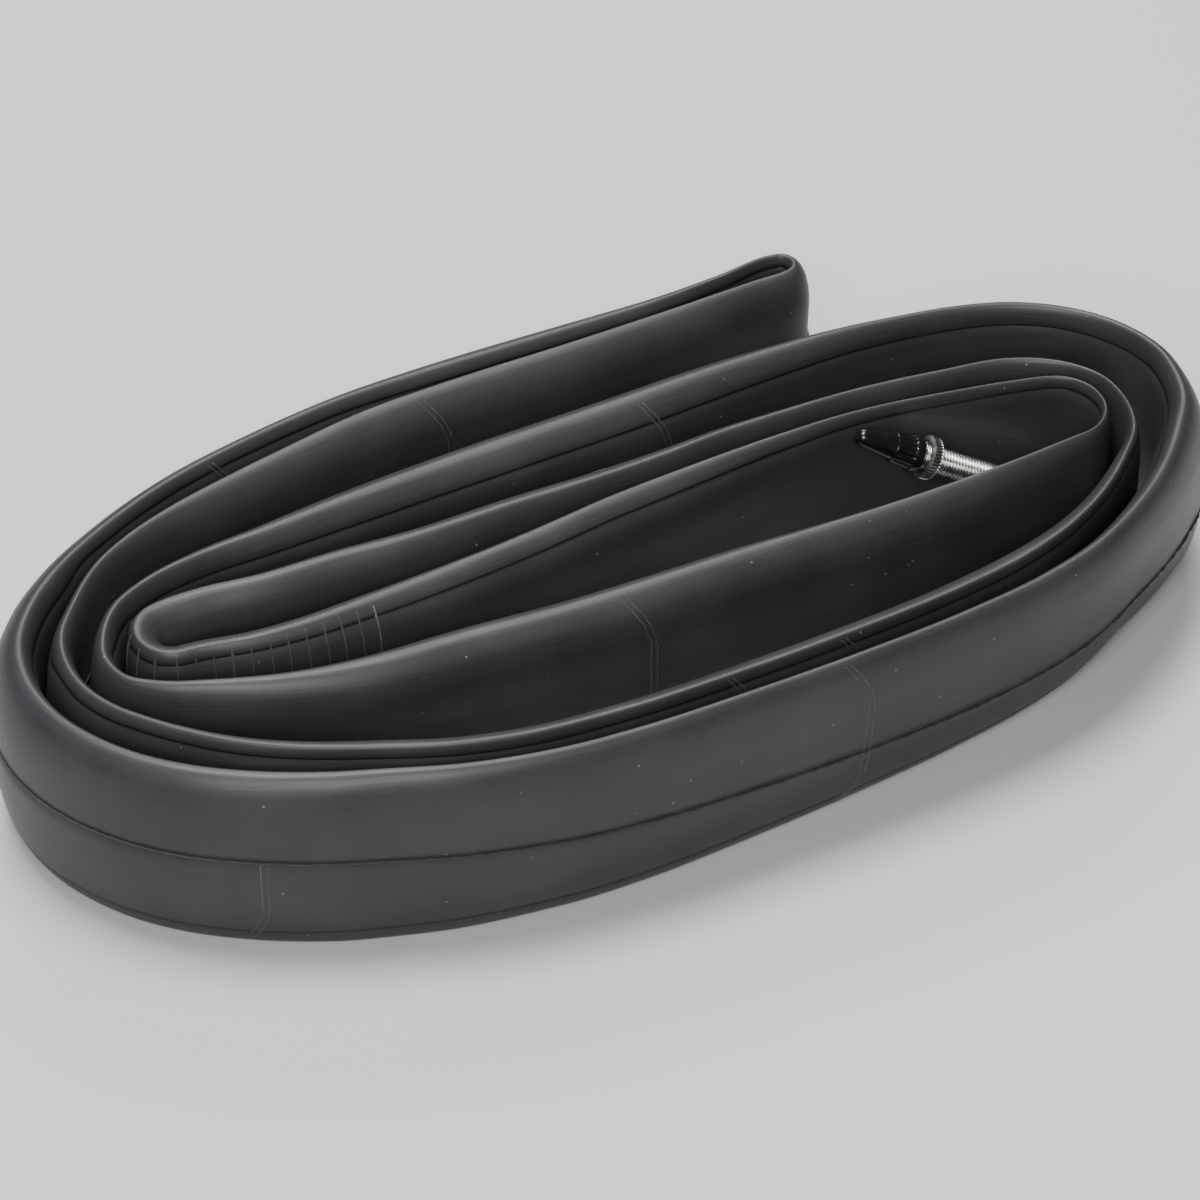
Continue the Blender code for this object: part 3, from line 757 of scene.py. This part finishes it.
def cross_line(distance, side, sweep, proud, top):
    """A low ridge down one face of the tube, swept along by the mould near the edges."""
    tall = edge_height(samples[sample_at(distance)].z)
    rows = []
    height = min(top, tall - EDGE_CLEAR)
    while height > EDGE_CLEAR:
        depth = min(height, tall - height)
        along = distance + sweep * (1.0 - max(0.0, 1.0 - depth / JOINT_REACH) ** 2)
        rows.append(
            [
                line_mesh.verts.new(on_skin(along + off, height, side, out))
                for off, out in ((-LINE_HALF, -LINE_SUNK), (0.0, proud), (LINE_HALF, -LINE_SUNK))
            ]
        )
        height -= LINE_STEP
    for one, two in zip(rows, rows[1:]):
        for j in range(3):
            k = (j + 1) % 3
            line_mesh.faces.new((one[j], one[k], two[k], two[j]))
    line_mesh.faces.new(rows[0])
    line_mesh.faces.new(rows[-1])


def distance_at(x, y):
    """How far along the ring its centre line passes nearest to a plan point."""
    spot = Vector((x, y))
    return travel[min(range(len(samples)), key=lambda i: (samples[i].xy - spot).length)]


for x, y, side, top in [
    (-70.0, 57.0, -1.0, FULL_HEIGHT), (-21.8, 54.8, 1.0, FULL_HEIGHT),
    (22.0, 31.4, -1.0, FULL_HEIGHT), (4.1, 10.8, -1.0, FULL_HEIGHT),
    (-12.9, -24.0, 1.0, FULL_HEIGHT), (18.5, -63.8, 1.0, FULL_HEIGHT),
    (-106.2, -33.9, 1.0, TO_CREASE), (-3.6, -57.6, -1.0, FULL_HEIGHT),
    (22.9, -57.7, -1.0, FULL_HEIGHT),
]:
    start = distance_at(x, y)
    for offset in (0.0, JOINT_GAP):
        cross_line(start + offset, side, side * JOINT_SWEEP, LINE_PROUD, top)
rib_start = distance_at(*RIB_START)
for number in range(RIB_COUNT):
    cross_line(rib_start + RIB_PITCH * number, -1.0, 0.0, RIB_PROUD, FULL_HEIGHT)
bmesh.ops.recalc_face_normals(line_mesh, faces=line_mesh.faces)
cross_lines = made_piece("cross_lines", line_mesh)

# Ridge butyl: the ridges stand proud and are coloured paler, a painted highlight, in 2 mm patches.
RIDGE_MOTTLE = 500.0
pale_ridge_rubber, tree, shader = new_finish("butyl_painted_ridge_highlight")
space = add_node(tree, "ShaderNodeTexCoord")
ridge_mottle = add_node(
    tree, "ShaderNodeTexNoise",
    links={"Vector": space.outputs["Object"], "Scale": RIDGE_MOTTLE, "Detail": 3.0},
)
ridge_highlight_tone = add_node(
    tree, "ShaderNodeMix", {"data_type": "RGBA"},
    {0: ridge_mottle.outputs["Fac"], 6: linear("38393b"), 7: linear("5a5b5d")},
)
tree.links.new(ridge_highlight_tone.outputs[2], shader.inputs["Base Color"])
shader.inputs["Roughness"].default_value = 0.5
shader.inputs["IOR"].default_value = 1.5
cross_lines.data.materials.append(pale_ridge_rubber)
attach(cross_lines, "root")


# Valve pad: a round patch of the same rubber, vulcanised to the rim side of the wall, with a boss
# that swells out of it to hold the stem. It was pressed with the ring, so it has the same skin.


def wear(piece_name, finish):
    """Give a CAD piece its finish."""
    piece = frame["nodes"][piece_name]
    piece.data.materials.clear()
    piece.data.materials.append(finish)


# Moulded rubber: the ring's charcoal a shade paler and less drawn, with clouds 4 mm across.
PATCH_CLOUDS = 260.0
moulded, tree, shader = new_finish("moulded_rubber")
space = add_node(tree, "ShaderNodeTexCoord")
patch_clouds = add_node(
    tree, "ShaderNodeTexNoise",
    links={"Vector": space.outputs["Object"], "Scale": PATCH_CLOUDS, "Detail": 4.0},
)
patch_tone = add_node(
    tree, "ShaderNodeMix", {"data_type": "RGBA"},
    {0: patch_clouds.outputs["Fac"], 6: linear("2c2c2e"), 7: linear("3a3a3c")},
)
tree.links.new(patch_tone.outputs[2], shader.inputs["Base Color"])
patch_grain = add_node(
    tree, "ShaderNodeTexNoise", links={"Vector": space.outputs["Object"], "Scale": GRAIN}
)
patch_bump = add_node(
    tree, "ShaderNodeBump",
    links={"Height": patch_grain.outputs["Fac"], "Strength": 0.3, "Distance": 0.00004},
)
tree.links.new(patch_bump.outputs["Normal"], shader.inputs["Normal"])
shader.inputs["Roughness"].default_value = 0.45
shader.inputs["IOR"].default_value = 1.5
wear("valve_pad", moulded)


# Valve stem: turned brass with a thread cut along it, then nickel plated. Its foot is locked in the
# boss, and its hollow end holds the removable core.

# Heights along the valve start where its axis leaves the wall, and the lock nut's joint, at a known
# height, fixes both the place and the direction of the axis.
LOCK_NUT_MIDDLE = 56.7
for joint in frame["record"]["behaviour"]["joints"]:
    if joint["name"] == "lock_nut_turn":
        valve_direction = Vector(joint["axis"]).normalized()
        lock_nut_place = Vector(joint["pos_m"])
valve_root = lock_nut_place - valve_direction * LOCK_NUT_MIDDLE * MM
valve_frame = Matrix.Translation(valve_root) @ (
    valve_direction.to_track_quat("Z", "Y").to_matrix().to_4x4()
)


def turned(name, profile, segments, closed):
    """A piece turned on the valve's axis from (radius, height) points in millimetres.

    The rim of a disc is drawn out and drawn in from point to point, as on a lathe.
    """
    bpy.ops.object.select_all(action="DESELECT")
    radius, height = profile[0]
    bpy.ops.mesh.primitive_circle_add(
        vertices=segments, radius=radius * MM, fill_type="NOTHING" if closed else "NGON",
        location=(0.0, 0.0, height * MM),
    )
    piece = bpy.context.object
    piece.name = name
    piece.data.name = name
    bpy.ops.object.transform_apply(location=True)
    bpy.ops.object.mode_set(mode="EDIT")
    bpy.ops.mesh.select_mode(type="EDGE")
    bpy.ops.mesh.select_all(action="SELECT")
    if not closed:
        bpy.ops.mesh.delete(type="ONLY_FACE")
        bpy.ops.mesh.select_all(action="SELECT")
    points = profile[1:] + (profile[:1] if closed else [])
    for next_radius, next_height in points:
        bpy.ops.mesh.extrude_region_move(
            TRANSFORM_OT_translate={"value": (0.0, 0.0, (next_height - height) * MM)}
        )
        scale = next_radius / radius
        bpy.ops.transform.resize(
            value=(scale, scale, 1.0), center_override=(0.0, 0.0, next_height * MM)
        )
        radius, height = next_radius, next_height
    bpy.ops.mesh.select_all(action="SELECT")
    bpy.ops.mesh.remove_doubles(threshold=0.000002)
    if not closed:
        bpy.ops.mesh.fill_holes(sides=0)
    bpy.ops.mesh.normals_make_consistent(inside=False)
    bpy.ops.object.mode_set(mode="OBJECT")
    return piece


def fit_to_valve(piece, crease_angle):
    """Set a turned piece on the valve's axis, with its hard edges kept sharp."""
    piece.matrix_world = valve_frame
    bpy.ops.object.select_all(action="DESELECT")
    piece.select_set(True)
    bpy.context.view_layer.objects.active = piece
    bpy.ops.object.transform_apply(location=True, rotation=True)
    bpy.ops.object.shade_smooth_by_angle(angle=radians(crease_angle))


STEM_RADIUS = 3.0
STEM_END = 49.7
STEM_BEVEL = 0.4
STEM_BORE = 2.2
AIR_HOLE = 1.3
FOOT_RADIUS = 3.9
FOOT_BOTTOM = 3.8
FOOT_TOP = 4.8
CORE_SEAT = (29.5, 30.3)
THREAD_PITCH = 0.8
THREAD_DEPTH = 0.4
THREAD_START = 8.5
THREAD_STEPS = 8
SOFT_EDGE = 75.0
thread_top = STEM_END - 0.5
steps = int((thread_top - THREAD_START) / THREAD_PITCH * THREAD_STEPS)
stem_profile = [
    (AIR_HOLE, FOOT_BOTTOM), (FOOT_RADIUS, FOOT_BOTTOM), (FOOT_RADIUS, FOOT_TOP),
    (STEM_RADIUS, FOOT_TOP),
]
stem_profile += [
    (STEM_RADIUS, THREAD_START + (thread_top - THREAD_START) * i / steps) for i in range(steps + 1)
]
stem_profile += [
    (STEM_RADIUS - STEM_BEVEL, STEM_END), (STEM_BORE, STEM_END), (STEM_BORE, CORE_SEAT[1]),
    (AIR_HOLE, CORE_SEAT[0]),
]
threaded_stem = turned("threaded_stem", stem_profile, 40, True)
# Painted shade: the thread's valleys are marked to be coloured dark by the plate's finish.
thread_shade = threaded_stem.data.attributes.new("painted_groove_shade", "FLOAT", "POINT")
for corner in threaded_stem.data.vertices:
    radius = corner.co.xy.length / MM
    height = corner.co.z / MM
    if radius > STEM_RADIUS - 0.01 and THREAD_START < height < thread_top:
        turn = Vector((1.0, 0.0)).angle_signed(corner.co.xy) / (2.0 * pi)
        phase = height / THREAD_PITCH + turn
        flank = 0.5 + 0.5 * cos(2.0 * pi * phase)
        fade = ramp(height, THREAD_START, THREAD_START + 1.0)
        corner.co.xy *= 1.0 - fade * THREAD_DEPTH * flank / STEM_RADIUS
        thread_shade.data[corner.index].value = fade * flank
fit_to_valve(threaded_stem, SOFT_EDGE)

# Bright nickel plate on turned brass: a warm white metal, a little tarnished in 1.4 mm patches, and
# painted dark where the thread and the knurling are deepest, as shade in their valleys.
TARNISH = 700.0
nickel, tree, shader = new_finish("bright_nickel_plate")
shader.inputs["Metallic"].default_value = 1.0
space = add_node(tree, "ShaderNodeTexCoord")
tarnish = add_node(
    tree, "ShaderNodeTexNoise",
    links={"Vector": space.outputs["Object"], "Scale": TARNISH, "Detail": 3.0},
)
plate = add_node(
    tree, "ShaderNodeMix", {"data_type": "RGBA"},
    {0: tarnish.outputs["Fac"], 6: linear("d2d0cb"), 7: linear("e9e8e4")},
)
valley = add_node(tree, "ShaderNodeAttribute", {"attribute_name": "painted_groove_shade"})
in_valley = add_node(
    tree, "ShaderNodeMapRange", links={"Value": valley.outputs["Fac"], "To Max": 0.62}
)
shaded_valleys = add_node(
    tree, "ShaderNodeMix", {"data_type": "RGBA"},
    {0: in_valley.outputs["Result"], 6: plate.outputs[2], 7: linear("2a2724")},
)
tree.links.new(shaded_valleys.outputs[2], shader.inputs["Base Color"])
plate_polish = add_node(
    tree, "ShaderNodeMapRange",
    links={
        "Value": tarnish.outputs["Fac"], "From Min": 0.3, "From Max": 0.7,
        "To Min": 0.24, "To Max": 0.34,
    },
)
tree.links.new(plate_polish.outputs["Result"], shader.inputs["Roughness"])
threaded_stem.data.materials.append(nickel)
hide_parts("valve_stem")
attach(threaded_stem, "root")


# Valve core: a small brass cartridge with two spanner flats, and the plunger that runs through it.
# Both are nickel plated like the stem and hide under the dust cap. A gasket round the cartridge and
# a seal on the plunger's lower end are moulded from the same rubber as the pad.

for name in ("core_body", "core_pin"):
    wear(name, nickel)
for name in ("core_gasket", "core_seal"):
    wear(name, moulded)


# Lock nut: a 3.3 mm brass nut on the end of the plunger, knurled so that fingers can turn it.

LOCK_NUT_RADIUS = 1.65
LOCK_NUT_NECK = LOCK_NUT_RADIUS - 0.35
LOCK_NUT_BORE = 0.9
LOCK_NUT_TOP = 58.0
LOCK_NUT_BOTTOM = 55.4
LOCK_NUT_TEETH = 22
LOCK_NUT_TOOTH = 0.14
CRISP_EDGE = 30.0
lock_nut_profile = [
    (LOCK_NUT_BORE, LOCK_NUT_TOP), (LOCK_NUT_RADIUS - 0.3, LOCK_NUT_TOP),
    (LOCK_NUT_RADIUS, LOCK_NUT_TOP - 0.3), (LOCK_NUT_RADIUS, LOCK_NUT_BOTTOM + 1.0),
    (LOCK_NUT_NECK, LOCK_NUT_BOTTOM + 0.8), (LOCK_NUT_NECK, LOCK_NUT_BOTTOM),
    (LOCK_NUT_BORE, LOCK_NUT_BOTTOM),
]


def flute(piece, teeth, inner, depth, low, high):
    """Press straight teeth into whatever stands outside a radius, between two heights."""
    # Painted shade: the valleys between the teeth are marked to be coloured dark.
    tooth_shade = piece.data.attributes.new("painted_groove_shade", "FLOAT", "POINT")
    for corner in piece.data.vertices:
        radius = corner.co.xy.length / MM
        height = corner.co.z / MM
        if radius > inner and low < height < high:
            turn = Vector((1.0, 0.0)).angle_signed(corner.co.xy)
            valley_share = 0.5 + 0.5 * cos(teeth * turn)
            corner.co.xy *= 1.0 - depth * valley_share / radius
            tooth_shade.data[corner.index].value = valley_share


knurled_lock_nut = turned("knurled_lock_nut", lock_nut_profile, 4 * LOCK_NUT_TEETH, True)
flute(
    knurled_lock_nut, LOCK_NUT_TEETH, LOCK_NUT_RADIUS - 0.05, LOCK_NUT_TOOTH,
    LOCK_NUT_BOTTOM, LOCK_NUT_TOP,
)
fit_to_valve(knurled_lock_nut, CRISP_EDGE)
knurled_lock_nut.data.materials.append(nickel)
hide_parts("lock_nut")
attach(knurled_lock_nut, "lock_nut")


# Rim nut: a round nickel-plated brass nut that draws the stem tight to the rim. Its edge has
# straight knurling, and its outer face a turned bevel that catches the light as a bright ring.

RIM_NUT_RADIUS = 4.95
RIM_NUT_TOP = 44.3
RIM_NUT_BOTTOM = 41.6
RIM_NUT_BORE = 3.3
RIM_NUT_TEETH = 40
RIM_NUT_TOOTH = 0.3
rim_nut_profile = [
    (RIM_NUT_BORE, RIM_NUT_TOP - 0.4), (RIM_NUT_BORE + 0.4, RIM_NUT_TOP),
    (RIM_NUT_RADIUS - 0.95, RIM_NUT_TOP), (RIM_NUT_RADIUS - 0.75, RIM_NUT_TOP - 0.06),
    (RIM_NUT_RADIUS - 0.08, RIM_NUT_TOP - 0.5), (RIM_NUT_RADIUS, RIM_NUT_TOP - 0.7),
    (RIM_NUT_RADIUS, RIM_NUT_BOTTOM + 0.5), (RIM_NUT_RADIUS - 0.1, RIM_NUT_BOTTOM + 0.3),
    (RIM_NUT_RADIUS - 0.4, RIM_NUT_BOTTOM), (RIM_NUT_BORE + 0.3, RIM_NUT_BOTTOM),
    (RIM_NUT_BORE, RIM_NUT_BOTTOM + 0.3),
]
knurled_rim_nut = turned("knurled_rim_nut", rim_nut_profile, 6 * RIM_NUT_TEETH, True)
flute(
    knurled_rim_nut, RIM_NUT_TEETH, RIM_NUT_RADIUS - 0.05, RIM_NUT_TOOTH,
    RIM_NUT_BOTTOM + 0.45, RIM_NUT_TOP - 0.65,
)
fit_to_valve(knurled_rim_nut, CRISP_EDGE)
knurled_rim_nut.data.materials.append(nickel)
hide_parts("rim_nut")
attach(knurled_rim_nut, "rim_nut")


# Dust cap: a thimble of glossy black plastic, injection moulded, that pushes over the valve's end.
# A ribbed skirt grips the stem, and a tapered nose with a domed tip covers the core.

CAP_SKIRT = 45.6
CAP_STEP = 52.3
CAP_TIP = 61.5
CAP_RIBS = 20
CAP_RIB_INNER = 3.35
CAP_RIB_DEPTH = 0.22
CAP_CREASE = 35.0
cap_profile = [
    (0.02, CAP_TIP), (0.55, CAP_TIP - 0.04), (1.0, CAP_TIP - 0.16), (1.45, CAP_TIP - 0.42),
    (1.78, CAP_TIP - 0.8), (1.98, CAP_TIP - 1.25), (2.1, CAP_TIP - 1.8), (2.55, CAP_TIP - 5.0),
    (3.02, CAP_STEP + 0.55), (3.1, CAP_STEP + 0.3), (3.36, CAP_STEP + 0.18),
    (3.46, CAP_STEP), (3.46, CAP_STEP - 0.25), (3.52, CAP_STEP - 0.5), (3.86, CAP_SKIRT + 2.35),
    (3.9, CAP_SKIRT + 2.1), (4.14, CAP_SKIRT + 1.95), (4.2, CAP_SKIRT + 1.75),
    (4.2, CAP_SKIRT + 0.45), (4.12, CAP_SKIRT + 0.15), (3.95, CAP_SKIRT), (3.35, CAP_SKIRT),
    (3.3, 50.2), (2.8, 50.6), (2.8, 53.9), (1.95, 54.5), (1.95, 58.4), (1.15, 59.0),
    (1.15, 59.6), (0.02, 59.8),
]
ribbed_cap = turned("ribbed_cap", cap_profile, 8 * CAP_RIBS, False)
for corner in ribbed_cap.data.vertices:
    height = corner.co.z / MM
    radius = corner.co.xy.length / MM
    turn = Vector((1.0, 0.0)).angle_signed(corner.co.xy) if radius > 0.1 else 0.0
    if CAP_SKIRT + 2.2 < height < CAP_STEP - 0.4 and radius > CAP_RIB_INNER:
        corner.co.xy *= 1.0 - CAP_RIB_DEPTH * (0.5 + 0.5 * cos(CAP_RIBS * turn)) / radius
fit_to_valve(ribbed_cap, CAP_CREASE)

# Gloss black ABS: nearly black and highly polished, with faint 3 mm flow marks from the mould.
FLOW_MARKS = 320.0
gloss_black, tree, shader = new_finish("moulded_abs_gloss_black")
space = add_node(tree, "ShaderNodeTexCoord")
flow = add_node(
    tree, "ShaderNodeTexNoise",
    links={"Vector": space.outputs["Object"], "Scale": FLOW_MARKS, "Detail": 2.0},
)
plastic_tone = add_node(
    tree, "ShaderNodeMix", {"data_type": "RGBA"},
    {0: flow.outputs["Fac"], 6: linear("0b0b0c"), 7: linear("141416")},
)
tree.links.new(plastic_tone.outputs[2], shader.inputs["Base Color"])
plastic_polish = add_node(
    tree, "ShaderNodeMapRange",
    links={
        "Value": flow.outputs["Fac"], "From Min": 0.3, "From Max": 0.7,
        "To Min": 0.17, "To Max": 0.25,
    },
)
tree.links.new(plastic_polish.outputs["Result"], shader.inputs["Roughness"])
shader.inputs["IOR"].default_value = 1.53
ribbed_cap.data.materials.append(gloss_black)
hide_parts("dust_cap")
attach(ribbed_cap, "dust_cap")
